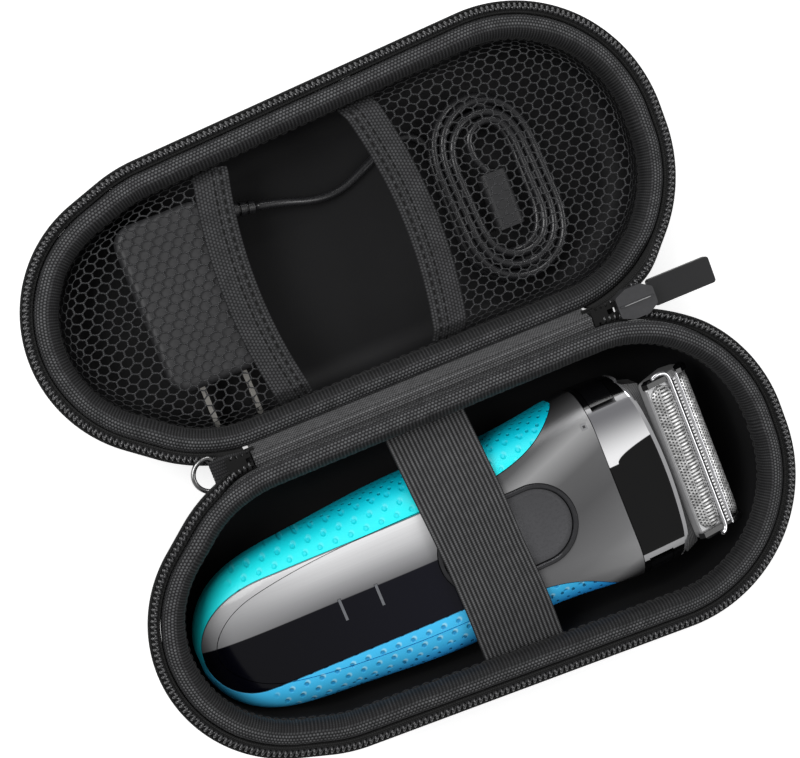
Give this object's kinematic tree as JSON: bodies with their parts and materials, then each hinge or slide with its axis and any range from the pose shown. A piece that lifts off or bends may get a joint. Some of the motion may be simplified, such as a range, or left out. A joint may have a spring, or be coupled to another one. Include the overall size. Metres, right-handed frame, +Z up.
{
  "type": "electric shaver case",
  "caption": "Moulded zip case open flat at its fabric hinge, with a foil shaver under an elastic strap in the base and a charger and cord behind mesh in the lid.",
  "frame": {"origin": "on the table below the middle of the hinge line of the open case, at the centre of its outline", "axes": "+X along the hinge towards the zip slider and the cutter head, +Y from the base to the lid, +Z up out of the open halves"},
  "size_m": [0.192, 0.1872, 0.0386],
  "materials": {
    "shell": "woven nylon over moulded foam, matte",
    "lining": "smooth black lining, satin",
    "binding": "woven twill binding, matte",
    "zip_tape": "woven tape",
    "zip_teeth": "nylon coil, satin",
    "hinge_fabric": "woven nylon, matte",
    "zip_slider": "grey painted die casting",
    "pull": "matte moulded rubber",
    "webbing": "ribbed webbing",
    "ring": "nickel plated wire",
    "strap": "ribbed elastic",
    "pocket_elastic": "stitched elastic binding",
    "mesh": "open knitted mesh",
    "charger": "fine texture, satin",
    "blade": "plated contact blades",
    "cord": "smooth flexible sheath",
    "housing": "satin dark housing",
    "panel": "gloss, silver towards the head and black towards the tail",
    "collar": "gunmetal lacquer",
    "grip": "blue rubber with moulded dimples",
    "light": "translucent lens",
    "saddle": "high gloss",
    "trim": "bright silver lacquer",
    "release": "gloss black",
    "chrome": "polished",
    "button": "silver lacquer",
    "skirt": "ribbed bellows",
    "cassette": "light grey satin",
    "foil": "perforated foil",
    "trimmer": "ground blades"
  },
  "bodies": {
    "base": {"base_shell": "shell", "base_lining": "lining", "base_binding": "binding", "base_zip_tape": "zip_tape", "base_zip_teeth": "zip_teeth", "base_hinge_gusset": "hinge_fabric", "elastic_strap": "strap"},
    "lid": {"lid_shell": "shell", "lid_lining": "lining", "lid_binding": "binding", "lid_zip_tape": "zip_tape", "lid_zip_teeth": "zip_teeth", "lid_hinge_gusset": "hinge_fabric", "left_pocket_elastic": "pocket_elastic", "left_pocket_mesh": "mesh", "right_pocket_elastic": "pocket_elastic", "right_pocket_mesh": "mesh", "charger_body": "charger", "charger_blades": "blade", "charger_strain_relief": "cord", "charger_cord": "cord", "cord_coil": "cord", "cord_tail": "cord", "cord_plug": "charger"},
    "zip_ends": {"zip_end_left": "zip_teeth", "zip_end_right": "zip_teeth", "ring_webbing": "webbing"},
    "slider": {"slider_body": "zip_slider"},
    "pull": {"slider_pull": "pull"},
    "ring": {"key_ring": "ring"},
    "shaver": {"shaver_housing": "housing", "shaver_front_panel": "panel", "shaver_collar": "collar", "shaver_grips": "grip", "indicator_lights": "light", "head_saddle": "saddle", "head_trim": "trim", "button_ring": "chrome", "head_skirt": "skirt", "cassette_frame": "cassette"},
    "power_button": {"power_button": "button"},
    "upper_foil": {"foil_upper": "foil"},
    "lower_foil": {"foil_lower": "foil"},
    "trimmer": {"centre_trimmer": "trimmer"},
    "release_left": {"release_button_left": "release"},
    "release_right": {"release_button_right": "release"}
  },
  "joints": [
    {"name": "lid_hinge", "type": "hinge", "parent": "base", "child": "lid", "pos_m": [0, 0, 0.0333], "axis": [1, 0, 0], "range_deg": [0, 180]},
    {"name": "zip_end_turn", "type": "hinge", "parent": "base", "child": "zip_ends", "pos_m": [0, 0, 0.0333], "axis": [1, 0, 0], "range_deg": [0, 90]},
    {"name": "slider_run", "type": "slide", "parent": "zip_ends", "child": "slider", "axis": [1, 0, 0], "range_m": [0, 0.004]},
    {"name": "pull_swing", "type": "hinge", "parent": "slider", "child": "pull", "pos_m": [0.068, 0, 0.02995], "axis": [0, 1, 0], "range_deg": [0, 80]},
    {"name": "ring_swing", "type": "hinge", "parent": "zip_ends", "child": "ring", "pos_m": [-0.0606, 0, 0.0308], "axis": [0, 1, 0], "range_deg": [-12, 30]},
    {"name": "shaver_lift", "type": "slide", "parent": "base", "child": "shaver", "axis": [-0.1186, -0.0988, -0.988], "range_m": [-0.04, 0], "deforming": ["elastic_strap"]},
    {"name": "power_press", "type": "slide", "parent": "shaver", "child": "power_button", "axis": [0, 0, -1], "range_m": [0, 0.0007], "stiffness_N_per_m": 900},
    {"name": "upper_foil_float", "type": "slide", "parent": "shaver", "child": "upper_foil", "axis": [-0.707, -0.0136, -0.7071], "range_m": [0, 0.0014], "stiffness_N_per_m": 400},
    {"name": "lower_foil_float", "type": "slide", "parent": "shaver", "child": "lower_foil", "axis": [-0.707, -0.0136, -0.7071], "range_m": [0, 0.0014], "stiffness_N_per_m": 400},
    {"name": "trimmer_float", "type": "slide", "parent": "shaver", "child": "trimmer", "axis": [-0.707, -0.0136, -0.7071], "range_m": [0, 0.0014], "stiffness_N_per_m": 400},
    {"name": "release_left_press", "type": "slide", "parent": "shaver", "child": "release_left", "axis": [0.0192, -0.9998, 0], "range_m": [0, 0.001], "stiffness_N_per_m": 900},
    {"name": "release_right_press", "type": "slide", "parent": "shaver", "child": "release_right", "axis": [-0.0192, 0.9998, 0], "range_m": [0, 0.001], "stiffness_N_per_m": 900}
  ],
  "couplings": [
    {"joint": "zip_end_turn", "follows": "lid_hinge", "ratio": 0.5}
  ]
}
